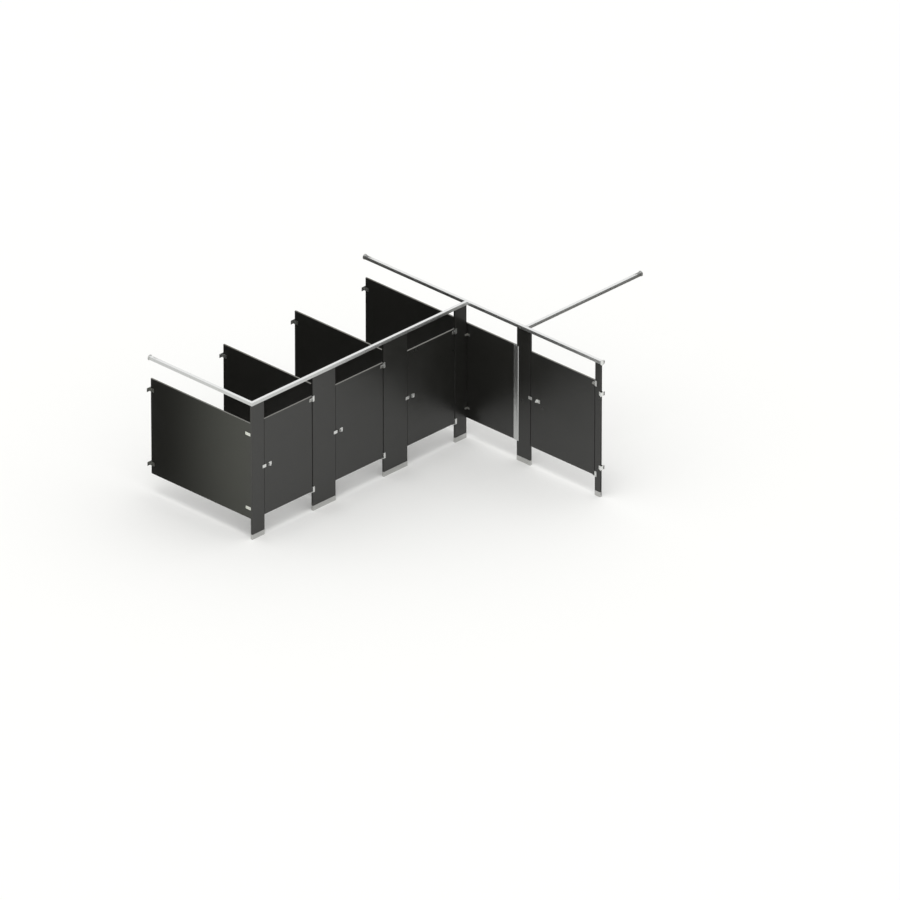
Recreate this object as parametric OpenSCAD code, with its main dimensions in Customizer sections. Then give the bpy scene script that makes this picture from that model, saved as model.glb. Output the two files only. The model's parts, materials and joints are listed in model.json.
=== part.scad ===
// Overhead-braced toilet partition: three stalls in a row, and an accessible stall beside them.
// X runs along the back wall, Y towards it and Z up, in millimetres.
// The origin is on the finished floor, under the centre of pilaster A.

/* [Layout] */
// Clear width of each standard doorway
opening_w = 947; // [880:1:1000]
// Clear width of the accessible stall's doorway
wide_opening_w = 1236; // [1100:1:1300]
// From the doors' middle plane to the back wall
stall_depth = 1977; // [1600:1:2300]
// Gap between a panel's end and the wall it is bracketed to
wall_gap = 25; // [12:1:40]
// Length of the fixed panel beside pilaster D
fixed_panel_w = 958; // [700:1:1200]
// Length of the brace rail from the run of panels to the side wall
brace_l = 2279; // [1500:1:3000]
// How far the brace rail sits from the middle of pilaster E
brace_offset = 18; // [0:1:60]
// How far the dividers sit from the middle of pilasters B and C
divider_offset = 32; // [0:1:60]
// From pilaster A's outer edge to the end panel's outer face
end_panel_inset = 12; // [4:1:40]

/* [Panels and doors] */
// Height of panels and doors
panel_h = 1473; // [1300:1:1600]
// Thickness of panels and doors
panel_t = 25.4; // [20:0.1:30]
// Height of their lower edge above the floor
floor_clearance = 305; // [230:1:360]
// Radius on the upright edges of panels, doors and pilasters
edge_r = 1.5; // [0.5:0.1:3]
// Gap between a door and its pilaster on the hinge side
hinge_gap = 13; // [10:0.5:18]
// Gap between a door and its pilaster on the latch side
latch_gap = 8; // [6:0.5:12]
// Gap between two panels, or a panel and a pilaster's back
panel_gap = 6; // [4:0.5:12]

/* [Pilasters] */
// Width of pilaster A, at the left end
a_w = 237; // [200:1:300]
// Width of pilaster B
b_w = 443; // [300:1:600]
// Width of pilaster C
c_w = 466; // [300:1:600]
// Width of pilaster D, at the inner corner
d_w = 225; // [180:1:300]
// Width of pilaster E, on the latch side of the wide door
e_w = 257; // [200:1:350]
// Width of pilaster F, at the right wall
f_w = 102; // [90:1:200]
// Thickness of a pilaster
pilaster_t = 31.75; // [28:0.05:38]
// Height of a pilaster's foot above the floor, for levelling
level_gap = 20; // [16:1:30]

/* [Headrail] */
// Height of the headrail's top above the floor
rail_top = 2118; // [2000:1:2200]
// Width of the extrusion
rail_w = 45; // [42:0.5:60]
// Height of the extrusion
rail_h = 51; // [44:0.5:70]
// Wall of the extrusion
rail_wall = 2.8; // [2:0.1:4]
// Radius on its two upper edges
rail_r = 6; // [3:0.5:9]
// Height of the groove along each side
rail_groove = 4; // [2:0.5:8]
// Depth of that groove
rail_groove_d = 1.2; // [0.5:0.1:2]
// Thickness of the lips that grip a pilaster
rail_lip = 2.5; // [1.5:0.1:4]
// Hairline gap in the mitre above pilaster A
mitre_gap = 0.2; // [0.1:0.05:0.4]
// Thickness of the splice plates inside the joints
splice_t = 3; // [2:0.5:5]
// Width of the splice plates
splice_w = 30; // [20:1:32]
// Reach of a splice plate into each rail
splice_l = 95; // [60:1:150]

/* [Wall flange] */
// Diameter of the round flange at a rail's end
flange_d = 82; // [80:1:110]
// Thickness of the flange
flange_t = 5; // [3:0.5:8]
// Length of the collar round the rail
collar_l = 18; // [10:1:20]
// Wall of that collar
collar_wall = 3; // [2:0.5:5]
// Pitch circle of the four screws
flange_pcd = 70; // [68:1:90]
// Radius of the screw holes
screw_hole_r = 2.75; // [2:0.05:4]

/* [Brackets] */
// Thickness of the brackets' metal
bracket_t = 3; // [2:0.5:4]
// From a panel's top edge down to the upper brackets
bracket_drop = 173; // [120:1:300]
// From a panel's lower edge up to the lower brackets
bracket_rise = 155; // [120:1:300]
// Height of a wall bracket
wall_bracket_h = 60; // [40:1:90]
// Reach of a wall bracket's ears past the panel's end
wall_ear_l = 63; // [40:1:90]
// Width of a wall bracket's base
wall_base_w = 130; // [100:1:160]
// Spacing of its screws across the base
wall_screw_x = 96; // [80:1:120]
// Spacing of its screws up the base
wall_screw_z = 36; // [20:1:44]
// Reach of pilaster F's wall brackets past its edge
f_ear_l = 24; // [18:1:50]
// Width of their base
f_base_w = 86; // [76:1:130]
// Spacing of their screws across the base
f_screw_x = 64; // [56:1:100]
// Height of a pilaster bracket
stirrup_h = 45; // [36:1:80]
// Length of a pilaster bracket's ears
stirrup_l = 104; // [70:1:130]
// Length of each leg of a corner angle
angle_l = 54; // [50:1:90]
// Height of a corner angle
angle_h = 34; // [28:1:70]
// Radius on the brackets' free corners
bracket_r = 6; // [2:0.5:12]
// Wall of the full-height joining channel
channel_t = 2; // [1.5:0.1:3]
// Lap of the channel over the fixed panel
channel_lap = 48; // [30:1:70]
// Lap of the channel over pilaster E
channel_grip = 36; // [20:1:60]
// Space inside the channel between the panel and pilaster E
channel_core = 13; // [8:1:20]
// Width of the raised bead along the channel, over pilaster E
bead_w = 32; // [16:1:40]
// Rise of that bead
bead_h = 4; // [2:0.5:6]

/* [Through bolts] */
// Radius of a bolt's shank
bolt_r = 3; // [2:0.1:4]
// Radius of its domed heads
bolt_head_r = 6.5; // [5:0.1:9]
// Height of its domed heads
bolt_head_h = 3; // [2:0.1:4]
// Radial clearance round a bolt
bolt_clear = 0.3; // [0.2:0.1:1]

/* [Shoes and levelling] */
// Height of a shoe
shoe_h = 76; // [50:1:110]
// Metal thickness of a shoe
shoe_t = 1.2; // [0.8:0.1:2]
// Clearance between a shoe and its pilaster
shoe_clear = 0.3; // [0.2:0.1:1]
// Thickness of the bar that is bolted to the floor
foot_t = 5; // [4:0.5:8]
// Width of that bar
foot_w = 25; // [20:1:28]
// From a pilaster's edge to the end of its bar
foot_inset = 10; // [6:1:20]
// From the bar's end to its anchor hole
anchor_inset = 12; // [10:1:20]
// Radius of the anchor holes
anchor_r = 5.25; // [4:0.05:6]
// Radius of the levelling studs
stud_r = 5; // [4:0.5:6]
// Length of a stud inside the pilaster
stud_grip = 40; // [20:1:80]
// Width across the flats of a levelling nut
nut_af = 17; // [14:0.5:20]
// Height of a levelling nut
nut_h = 8; // [5:0.5:10]

/* [Hinges] */
// From a door's hinge edge to the pivot
pivot_inset = 25; // [20:0.5:30]
// Radius of the pivot pin
pin_r = 4.75; // [3.5:0.05:6]
// Radial running clearance of the pin
pin_clear = 0.05; // [0.02:0.01:0.09]
// Height of a hinge's pilaster bracket
hinge_h = 85; // [60:1:110]
// Reach of that bracket over the pilaster's faces
hinge_wrap = 32; // [26:1:60]
// Thickness of the hinge castings
hinge_t = 3; // [2:0.1:4]
// Thickness of the lug that holds the pin
lug_t = 9; // [6:0.5:12]
// From a door's top edge down to the top of the upper hinge
hinge_drop = 0; // [0:1:60]
// From the top of the upper hinge down to its lug's upper face
lug_drop = 32; // [20:1:70]
// Height of the door's hinge block
block_h = 34; // [24:1:50]
// Length of the door's hinge block and of its notch
block_l = 50; // [44:1:60]
// Running gap between pieces that turn on each other
turn_gap = 0.3; // [0.2:0.05:0.6]
// Thickness of each nylon cam washer
cam_t = 4; // [3:0.1:4.5]
// Radius of the cam washers
cam_r = 11.5; // [9:0.1:12.5]
// Depth of the pin in the door's lower socket
socket_l = 32; // [20:1:50]

/* [Latch and pull] */
// Height of the latch above the floor
latch_z = 1055; // [900:1:1150]
// Width of the keeper's strike plate on the pilaster
keeper_grip = 34; // [24:1:50]
// Reach of the strike plate in front of the door
keeper_lip = 28; // [15:1:40]
// Height of the keeper
keeper_h = 46; // [36:1:70]
// Thickness of the keeper's metal
keeper_t = 2.5; // [2:0.1:3.5]
// Thickness of the keeper's rubber bumper
bumper_t = 2.8; // [1.5:0.1:3]
// Travel of the latch bolt
bolt_travel = 28; // [20:1:34]
// Width of the bolt bar, up and down
bar_h = 16; // [12:0.5:22]
// Thickness of the bolt bar
bar_t = 8; // [6:0.5:10]
// Length of the bolt bar
bar_l = 70; // [60:1:90]
// Sliding clearance round the bolt bar
slide_clear = 0.3; // [0.2:0.05:0.6]
// Height of the space between door and bolt bar
bar_lift = 10; // [8:0.5:14]
// Wall of the latch case round the bolt bar
case_wall = 4; // [3:0.5:6]
// Radius of the bolt's thumb knob
thumb_r = 7; // [5:0.5:9]
// How far the thumb knob stands out of the case
thumb_l = 14; // [8:0.5:20]
// Width of a pull's plate
pull_w = 64; // [54:1:80]
// Height of the plate
pull_h = 54; // [46:1:70]
// Thickness of the plate
pull_t = 3.5; // [2.5:0.1:5]
// How far a pull's lip stands out of the door
pull_out = 45; // [36:1:55]
// Thickness of the lip
lip_t = 6; // [4:0.5:8]
// Radius of the lip's bend, seen from above
lip_bend_r = 80; // [60:1:120]
// Radius of the bead along the lip's end
lip_bead_r = 4.5; // [3.5:0.1:6]
// Radius of the lip's round tip, seen from the side
lip_tip_r = 13; // [9:0.5:18]
// From a door's latch edge to the pull's near edge
pull_inset = 70; // [50:1:100]
// The same distance on the accessible door
wide_pull_inset = 112; // [60:1:140]

/* [Coat hook] */
// From a door's top edge down to the coat hook
hook_drop = 138; // [80:1:400]
// Diameter of the hook's rose
hook_rose_d = 44; // [36:1:60]
// Reach of the hook from the door
hook_out = 60; // [50:1:75]
// Radius of the hook's wire
hook_r = 4; // [3:0.5:6]
// Radius of the rubber tip that stops the door
hook_tip_r = 8; // [6:0.5:10]

/* [Hidden] */
$fn = 48;
over = 1;                                  // cuts run this far past a face
panel_z = floor_clearance;
panel_top = panel_z + panel_h;
bracket_zs = [panel_top - bracket_drop, panel_z + bracket_rise];
rail_z = rail_top - rail_h;
pilaster_top = rail_top - rail_wall - splice_t;

// Middles of the pilasters in the front row, and of the end panel and dividers
b_x = a_w / 2 + opening_w + b_w / 2;
c_x = b_x + b_w / 2 + opening_w + c_w / 2;
d_x = c_x + c_w / 2 + opening_w + d_w / 2;
panel_1_x = -a_w / 2 + end_panel_inset + panel_t / 2;
panel_2_x = b_x + divider_offset;
panel_3_x = c_x + divider_offset;

// The run of panels that passes pilaster D, and the pilasters in it
run_gap = panel_t / 2;
run_face = d_x + d_w / 2 + run_gap;
run_x = run_face + panel_t / 2;
fixed_y0 = -panel_gap / 2;
fixed_y1 = fixed_y0 - fixed_panel_w;
e_y0 = fixed_y1 - channel_core;
e_y = e_y0 - e_w / 2;
f_y0 = e_y0 - e_w - wide_opening_w;
f_y = f_y0 - f_w / 2;
right_wall_y = f_y0 - f_w - wall_gap;
brace_y = e_y - brace_offset;
side_wall_x = run_x + rail_w / 2 + brace_l;

// Ends of the dividers
divider_y0 = pilaster_t / 2 + panel_gap;
divider_y1 = stall_depth - wall_gap;
face_y = pilaster_t / 2;                   // a pilaster's face from its middle plane
half_t = panel_t / 2;

// The end rail clears pilaster A's edge with its inner wall
end_rail_x = -a_w / 2 - turn_gap + rail_w / 2 - rail_wall;

// Through bolts, each as [distance from the panel's end, height]
wall_bolt_at = [0.3 * wall_ear_l, 0.78 * wall_ear_l];
wall_bolts = [for (z = bracket_zs) for (d = wall_bolt_at) [d, z]];
stirrup_reach = stirrup_l - panel_gap;
stirrup_bolt_at = [0.28 * stirrup_reach, 0.8 * stirrup_reach];
stirrup_bolts = [for (z = bracket_zs) for (d = stirrup_bolt_at) [d, z]];
angle_bolt = angle_l * 0.6;                // from the corner along each leg
f_bolt = wall_gap + 0.55 * f_ear_l;        // from the right wall to pilaster F's bolts
bead_r = (pow(bead_w / 2, 2) + pow(bead_h, 2)) / (2 * bead_h);
case_y = half_t;                           // the latch case stands on the door's inner face
bar_y = case_y + bar_lift + bar_t / 2;     // middle of the bolt bar
case_d = bar_lift + bar_t + case_wall;
bar_x = 2;                                 // the bar's end from the door's edge, drawn back
case_x = 6;
case_l = bar_l + bolt_travel / 2;
case_h = bar_h + 2 * case_wall + 14;
thumb_x = bar_x + bolt_travel + thumb_r + 8;
staple_d = case_d - 1;

// Doors: hinge pivot, turn of the door's own frame, and width.
// In its own frame a door reaches from its pivot along -X and opens towards +Y.
pivot_x = hinge_gap + pivot_inset;
door_w = opening_w - hinge_gap - latch_gap;
wide_door_w = wide_opening_w - hinge_gap - latch_gap;
doors = [
    [[b_x - b_w / 2 - pivot_x, 0], 0, door_w],
    [[c_x - c_w / 2 - pivot_x, 0], 0, door_w],
    [[d_x - d_w / 2 - pivot_x, 0], 0, door_w],
    [[run_x, f_y0 + pivot_x], -90, wide_door_w],
];
function latch_edge(w) = pivot_inset - w;  // X of the latch edge in the door's frame
door_top = panel_top;
upper_lug_z = door_top - hinge_drop - lug_drop - lug_t;
block_z = upper_lug_z - turn_gap - block_h;
notch_z1 = upper_lug_z + lug_t + 6;
lower_lug_z = panel_z - 2 * cam_t - turn_gap - lug_t;

coat = "#4b4b4a";
aluminium = "#d8dadb";
stainless = "#b9bbbb";
cast = "#c9cbca";
nylon = "#2f3032";

// Plain shapes

// Cut sizes are kept to 0.02 mm, so that an outline's lines and corner arcs meet exactly
function cut_size(v) = floor(v * 50) / 50;

module rounded_rect(width, height, r) {
    w = cut_size(width);
    h = cut_size(height);
    square([w - 2 * r, h], center = true);
    square([w, h - 2 * r], center = true);
    for (x = [-1, 1], y = [-1, 1]) translate([x * (w / 2 - r), y * (h / 2 - r)]) circle(r);
}

// A plate in the XZ plane with rounded corners, its back on Y = 0 and its body towards +Y
module upright_plate(w, h, t, r) {
    rotate([90, 0, 0]) mirror([0, 0, 1]) linear_extrude(t) rounded_rect(w, h, r);
}

module along_y(r, l) {
    rotate([-90, 0, 0]) cylinder(r = r, h = l);
}

module along_x(r, l) {
    rotate([0, 90, 0]) cylinder(r = r, h = l);
}

// Panels: steel faces folded over a honeycomb core, drilled for the brackets' bolts

// A board along X from the panels' lower edge up, with every edge rounded
module board(w) {
    translate([0, 0, panel_z]) intersection() {
        linear_extrude(panel_h) rounded_rect(w, panel_t, edge_r);
        translate([-w / 2 - over, 0, panel_h / 2]) rotate([90, 0, 90])
            linear_extrude(w + 2 * over) rounded_rect(panel_t, panel_h, edge_r);
    }
}

module board_along_y(y0, y1) {
    translate([0, (y0 + y1) / 2, 0]) rotate([0, 0, 90]) board(y1 - y0);
}

module divider(bolts) {
    difference() {
        board_along_y(divider_y0, divider_y1);
        for (b = bolts)
            translate([-panel_t, b[0], b[1]]) along_x(bolt_r + bolt_clear, 2 * panel_t);
    }
}

function wall_end_bolts() = [for (b = wall_bolts) [divider_y1 - b[0], b[1]]];
function front_end_bolts() = [for (b = stirrup_bolts) [divider_y0 + b[0], b[1]]];

module panel_1() { color(coat) translate([panel_1_x, 0, 0]) divider(panel_bolts()); }
module panel_2() { color(coat) translate([panel_2_x, 0, 0]) divider(panel_bolts()); }
module panel_3() { color(coat) translate([panel_3_x, 0, 0]) divider(panel_bolts()); }
function panel_bolts() = concat(wall_end_bolts(), front_end_bolts());

// The fourth divider runs on past pilaster D's edge
module panel_4() {
    color(coat) translate([run_x, 0, 0]) difference() {
        board_along_y(panel_gap / 2, divider_y1);
        for (b = concat(wall_end_bolts(), [for (z = bracket_zs) [face_y + angle_bolt, z]]))
            translate([-panel_t, b[0], b[1]]) along_x(bolt_r + bolt_clear, 2 * panel_t);
    }
}

module fixed_panel() {
    color(coat) translate([run_x, 0, 0]) difference() {
        board_along_y(fixed_y1, fixed_y0);
        for (z = bracket_zs) translate([-panel_t, -face_y - angle_bolt, z])
            along_x(bolt_r + bolt_clear, 2 * panel_t);
    }
}

// Pilasters: they stand on levelling studs and end inside the headrail

function stud_xs(w) = w > 200 ? [-w / 4, w / 4] : [0];

module pilaster(w) {
    difference() {
        translate([0, 0, level_gap])
            linear_extrude(pilaster_top - level_gap) rounded_rect(w, pilaster_t, edge_r);
        for (x = stud_xs(w)) translate([x, 0, level_gap - over])
            cylinder(r = stud_r + bolt_clear, h = stud_grip + over + 2);
    }
}

module at_e() { translate([run_x, e_y, 0]) rotate([0, 0, -90]) children(); }
module at_f() { translate([run_x, f_y, 0]) rotate([0, 0, -90]) children(); }

module pilaster_a() { color(coat) pilaster(a_w); }
module pilaster_b() { color(coat) translate([b_x, 0, 0]) pilaster(b_w); }
module pilaster_c() { color(coat) translate([c_x, 0, 0]) pilaster(c_w); }
module pilaster_e() { color(coat) at_e() pilaster(e_w); }

module pilaster_d() {
    color(coat) translate([d_x, 0, 0]) difference() {
        pilaster(d_w);
        for (z = bracket_zs) translate([angle_bolt_x() - d_x, -pilaster_t, z])
            along_y(bolt_r + bolt_clear, 2 * pilaster_t);
    }
}

module pilaster_f() {
    color(coat) at_f() difference() {
        pilaster(f_w);
        for (z = bracket_zs) translate([f_w / 2 + wall_gap - f_bolt, -pilaster_t, z])
            along_y(bolt_r + bolt_clear, 2 * pilaster_t);
    }
}

// Shoes: stainless sleeves that hide the levelling feet

module shoe(w) {
    in_w = w + 2 * shoe_clear;
    in_t = pilaster_t + 2 * shoe_clear;
    linear_extrude(shoe_h) difference() {
        rounded_rect(in_w + 2 * shoe_t, in_t + 2 * shoe_t, edge_r + shoe_t);
        rounded_rect(in_w, in_t, edge_r);
    }
}

module shoe_a() { color(stainless) shoe(a_w); }
module shoe_b() { color(stainless) translate([b_x, 0, 0]) shoe(b_w); }
module shoe_c() { color(stainless) translate([c_x, 0, 0]) shoe(c_w); }
module shoe_d() { color(stainless) translate([d_x, 0, 0]) shoe(d_w); }
module shoe_e() { color(stainless) at_e() shoe(e_w); }
module shoe_f() { color(stainless) at_f() shoe(f_w); }

// A bar on the floor with anchor holes, and studs with nuts that carry the pilaster
module levelling_foot(w) {
    bar_l = w - 2 * foot_inset;
    difference() {
        linear_extrude(foot_t) rounded_rect(bar_l, foot_w, 3);
        for (s = [-1, 1]) translate([s * (bar_l / 2 - anchor_inset), 0, -over])
            cylinder(r = anchor_r, h = foot_t + 2 * over);
    }
    for (x = stud_xs(w)) translate([x, 0, 0]) {
        translate([0, 0, foot_t / 2]) cylinder(r = stud_r, h = level_gap + stud_grip - foot_t / 2);
        translate([0, 0, level_gap - nut_h]) cylinder(d = nut_af / cos(30), h = nut_h, $fn = 6);
    }
}

module levelling_feet() {
    color(stainless) {
        levelling_foot(a_w);
        translate([b_x, 0, 0]) levelling_foot(b_w);
        translate([c_x, 0, 0]) levelling_foot(c_w);
        translate([d_x, 0, 0]) levelling_foot(d_w);
        at_e() levelling_foot(e_w);
        at_f() levelling_foot(f_w);
    }
}

// Headrail: an open-bottomed aluminium extrusion whose inner lips grip the pilasters

module rail_profile() {
    in_w = rail_w - 2 * rail_wall;
    difference() {
        union() {
            translate([-rail_w / 2, -rail_h]) square([rail_w, rail_h - rail_r]);
            translate([rail_r - rail_w / 2, -rail_r - over])
                square([rail_w - 2 * rail_r, rail_r + over]);
            for (s = [-1, 1]) translate([s * (rail_w / 2 - rail_r), -rail_r]) circle(rail_r);
        }
        translate([-in_w / 2, -rail_h - over]) square([in_w, rail_h + over - rail_wall]);
        for (s = [-1, 1]) translate([s * rail_w / 2, -rail_h * 0.36])
            square([2 * rail_groove_d, rail_groove], center = true);
    }
    lip_l = (in_w - pilaster_t) / 2;
    for (s = [-1, 1], y = [-rail_h, -rail_h * 0.5 - rail_lip])
        translate([s > 0 ? pilaster_t / 2 : -in_w / 2 - over / 2, y])
            square([lip_l + over / 2, rail_lip]);
}

// A rail along +X from X = 0, its top at rail_top
module rail(l) {
    translate([0, 0, rail_top]) rotate([90, 0, 90]) linear_extrude(l) rail_profile();
}

// A block on one side of the mitre between the front rail and the end rail
module mitre_side(front) {
    translate([end_rail_x, 0, rail_z - over]) rotate([0, 0, 45])
        translate([-2 * rail_w, front ? mitre_gap / 2 - 4 * rail_w : -mitre_gap / 2, 0])
            cube([4 * rail_w, 4 * rail_w, rail_h + 2 * over]);
}

rail_end_y = stall_depth - flange_t;
front_rail_x1 = run_x - rail_w / 2;

module front_headrail() {
    x0 = end_rail_x - rail_w / 2;
    color(aluminium) difference() {
        translate([x0, 0, 0]) rail(front_rail_x1 - x0);
        mitre_side(false);
    }
}

module end_headrail() {
    color(aluminium) difference() {
        translate([end_rail_x, -rail_w / 2, 0]) rotate([0, 0, 90]) rail(rail_end_y + rail_w / 2);
        mitre_side(true);
        translate([0, 0, rail_z - over]) linear_extrude(pilaster_top - rail_z + over)
            square([a_w + 2 * turn_gap, pilaster_t + 2 * turn_gap], center = true);
    }
}

run_rail_y0 = right_wall_y + flange_t;

module run_headrail() {
    color(aluminium) difference() {
        translate([run_x, run_rail_y0, 0]) rotate([0, 0, 90]) rail(rail_end_y - run_rail_y0);
        splice_slot(run_x - rail_w / 2, 0);
        splice_slot(run_x + rail_w / 2, brace_y);
    }
}

module splice_slot(x, y) {
    translate([x, y, pilaster_top + splice_t / 2])
        cube([2 * rail_wall + over, splice_w + 2 * turn_gap, splice_t + 2 * turn_gap], center = true);
}

module brace_headrail() {
    color(aluminium) translate([run_x + rail_w / 2, brace_y, 0]) rail(brace_l - flange_t);
}

// Flat plates inside the rails: an elbow at pilaster A, tees at pilasters D and E
module splice_bar(l) {
    translate([0, -splice_w / 2, 0]) cube([l, splice_w, splice_t]);
}

module headrail_splices() {
    color(stainless) translate([0, 0, pilaster_top]) {
        translate([end_rail_x, 0, 0]) {
            translate([-splice_w / 2, 0, 0]) splice_bar(splice_l);
            rotate([0, 0, 90]) splice_bar(splice_l);
        }
        translate([run_x, 0, 0]) {
            rotate([0, 0, 180]) splice_bar(splice_l);
            translate([0, -splice_l / 2, 0]) rotate([0, 0, 90]) splice_bar(splice_l);
        }
        translate([run_x, brace_y, 0]) {
            splice_bar(splice_l);
            translate([0, -splice_l / 2, 0]) rotate([0, 0, 90]) splice_bar(splice_l);
        }
    }
}

// Round cast flange with a square collar, for a rail that ends at a wall; the wall is at X = 0
module rail_flange() {
    collar_w = rail_w + 2 * (collar_wall + turn_gap);
    collar_h = rail_h + 2 * (collar_wall + turn_gap);
    translate([0, 0, rail_top - rail_h / 2]) difference() {
        union() {
            translate([-flange_t, 0, 0]) along_x(flange_d / 2, flange_t);
            translate([-flange_t - collar_l, 0, 0]) rotate([90, 0, 90])
                linear_extrude(collar_l + over) rounded_rect(collar_w, collar_h, rail_r);
        }
        translate([-flange_t - collar_l - over, 0, 0]) rotate([90, 0, 90])
            linear_extrude(collar_l + over)
            square([rail_w + 2 * turn_gap, rail_h + 2 * turn_gap], center = true);
        for (a = [0:90:270]) rotate([a, 0, 0]) translate([-flange_t - over, flange_pcd / 2, 0])
            along_x(screw_hole_r, flange_t + 2 * over);
    }
}

module rail_wall_flanges() {
    color(cast) {
        translate([end_rail_x, stall_depth, 0]) rotate([0, 0, 90]) rail_flange();
        translate([run_x, stall_depth, 0]) rotate([0, 0, 90]) rail_flange();
        translate([run_x, right_wall_y, 0]) rotate([0, 0, -90]) rail_flange();
        translate([side_wall_x, brace_y, 0]) rail_flange();
    }
}

// Stirrup: a base with two ears that hold a panel of thickness t; the base stands on Y = 0
// and the ears reach towards -Y. Bolt positions are distances from the base's seat.
module stirrup(t, base_w, h, ear_l, bolts) {
    difference() {
        union() {
            translate([0, -bracket_t, 0]) upright_plate(base_w, h, bracket_t, min(bracket_r, 3));
            for (s = [-1, 1]) translate([s * (t + bracket_t) / 2, 0, 0])
                rotate([0, -90, 0]) translate([0, 0, -bracket_t / 2]) linear_extrude(bracket_t) {
                    translate([-h / 2, -ear_l + bracket_r]) square([h, ear_l - bracket_r]);
                    translate([-h / 2 + bracket_r, -ear_l]) square([h - 2 * bracket_r, ear_l]);
                    for (z = [-1, 1]) translate([z * (h / 2 - bracket_r), bracket_r - ear_l])
                        circle(bracket_r);
                }
        }
        for (b = bolts) translate([-t, -b, 0]) along_x(bolt_r + bolt_clear, 2 * t);
    }
}

module wall_bracket(t, base_w, screw_x, ear_l, bolts) {
    difference() {
        stirrup(t, base_w, wall_bracket_h, wall_gap + ear_l, bolts);
        for (x = [-1, 1], z = [-1, 1])
            translate([x * screw_x / 2, -bracket_t - over, z * wall_screw_z / 2])
                along_y(screw_hole_r, bracket_t + 2 * over);
    }
}

module wall_brackets() {
    reach = [for (d = wall_bolt_at) wall_gap + d];
    color(cast) for (x = [panel_1_x, panel_2_x, panel_3_x, run_x], z = bracket_zs)
        translate([x, stall_depth, z])
            wall_bracket(panel_t, wall_base_w, wall_screw_x, wall_ear_l, reach);
}

module pilaster_wall_brackets() {
    color(cast) for (z = bracket_zs) translate([run_x, right_wall_y, z])
        rotate([0, 0, 180]) wall_bracket(pilaster_t, f_base_w, f_screw_x, f_ear_l, [f_bolt]);
}

module pilaster_stirrups() {
    reach = [for (d = stirrup_bolt_at) panel_gap + d];
    color(cast) for (x = [panel_1_x, panel_2_x, panel_3_x], z = bracket_zs)
        translate([x, face_y, z]) rotate([0, 0, 180])
            stirrup(panel_t, panel_t + 2 * bracket_t, stirrup_h, stirrup_l, reach);
}

// Angles that tie pilaster D to the panels in front of and behind it
function angle_bolt_x() = d_x + d_w / 2 + run_gap - angle_l * 0.72;

module corner_angle() {
    difference() {
        union() {
            translate([run_face - angle_l / 2, -face_y - bracket_t, 0])
                upright_plate(angle_l, angle_h, bracket_t, bracket_r);
            translate([run_face - bracket_t, -face_y - angle_l / 2, 0]) rotate([0, 0, -90])
                upright_plate(angle_l, angle_h, bracket_t, bracket_r);
            translate([run_face - 2 * bracket_r, -face_y - bracket_t, -angle_h / 2])
                cube([2 * bracket_r, bracket_t, angle_h]);
            translate([run_face - bracket_t, -face_y - 2 * bracket_r, -angle_h / 2])
                cube([bracket_t, 2 * bracket_r, angle_h]);
        }
        translate([angle_bolt_x(), -2 * face_y, 0]) along_y(bolt_r + bolt_clear, 2 * face_y);
        translate([run_face - 2 * bracket_t, -face_y - angle_bolt, 0])
            along_x(bolt_r + bolt_clear, 3 * bracket_t);
    }
}

module corner_angles() {
    color(cast) for (z = bracket_zs) translate([0, 0, z]) {
        corner_angle();
        mirror([0, 1, 0]) corner_angle();
    }
}

// A shallow bead on each outer face of the channel's part over pilaster E
module channel_beads() {
    y0 = -channel_core - channel_grip;
    for (s = [0, 1]) mirror([s, 0]) intersection() {
        translate([face_y, y0]) square([channel_t + bead_h + over, channel_grip]);
        translate([face_y + channel_t + bead_h - bead_r, y0 + channel_grip / 2])
            circle(bead_r, $fn = 96);
    }
}

// Full-height channel that joins the fixed panel to pilaster E
module joining_channel() {
    color(aluminium) translate([run_x, fixed_y1, panel_z]) linear_extrude(panel_h) difference() {
        union() {
            translate([-half_t - channel_t, -channel_core / 2])
                square([panel_t + 2 * channel_t, channel_lap + channel_core / 2]);
            translate([-face_y - channel_t, -channel_core - channel_grip])
                square([pilaster_t + 2 * channel_t, channel_grip + channel_core]);
            channel_beads();
        }
        translate([-half_t, 0]) square([panel_t, channel_lap + over]);
        translate([-face_y, -channel_core - channel_grip - over])
            square([pilaster_t, channel_grip + over]);
        translate([-half_t, channel_t - channel_core])
            square([panel_t, channel_core - 2 * channel_t]);
    }
}

// Through bolt along X with a domed barrel head at each end, for a stack of thickness t
module through_bolt(t) {
    rotate([0, 90, 0]) rotate_extrude() {
        translate([0, -t / 2 - 0.5]) square([bolt_r, t + 1]);
        for (s = [-1, 1]) translate([0, s * t / 2]) intersection() {
            translate([0, s > 0 ? 0 : -bolt_head_h]) square([bolt_head_r, bolt_head_h]);
            translate([0, s * (bolt_head_h - dome_r)]) circle(dome_r, $fn = 64);
        }
    }
}
dome_r = (pow(bolt_head_r, 2) + pow(bolt_head_h, 2)) / (2 * bolt_head_h);

module through_bolts() {
    stack = panel_t + 2 * bracket_t;
    color(stainless) {
        for (x = [panel_1_x, panel_2_x, panel_3_x], b = panel_bolts())
            translate([x, b[0], b[1]]) through_bolt(stack);
        for (b = wall_end_bolts()) translate([run_x, b[0], b[1]]) through_bolt(stack);
        for (z = bracket_zs) {
            for (y = [-1, 1]) translate([run_x - bracket_t / 2, y * (face_y + angle_bolt), z])
                through_bolt(panel_t + bracket_t);
            translate([angle_bolt_x(), 0, z]) rotate([0, 0, 90])
                through_bolt(pilaster_t + 2 * bracket_t);
            translate([run_x, right_wall_y + f_bolt, z]) through_bolt(pilaster_t + 2 * bracket_t);
        }
    }
}

// Hinges, drawn in the door's own frame: the pivot is at the origin, the door reaches
// along -X, and the pilaster's edge is at X = pivot_x

module at_door(i) {
    translate(doors[i][0]) rotate([0, 0, doors[i][1]]) children();
}

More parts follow.
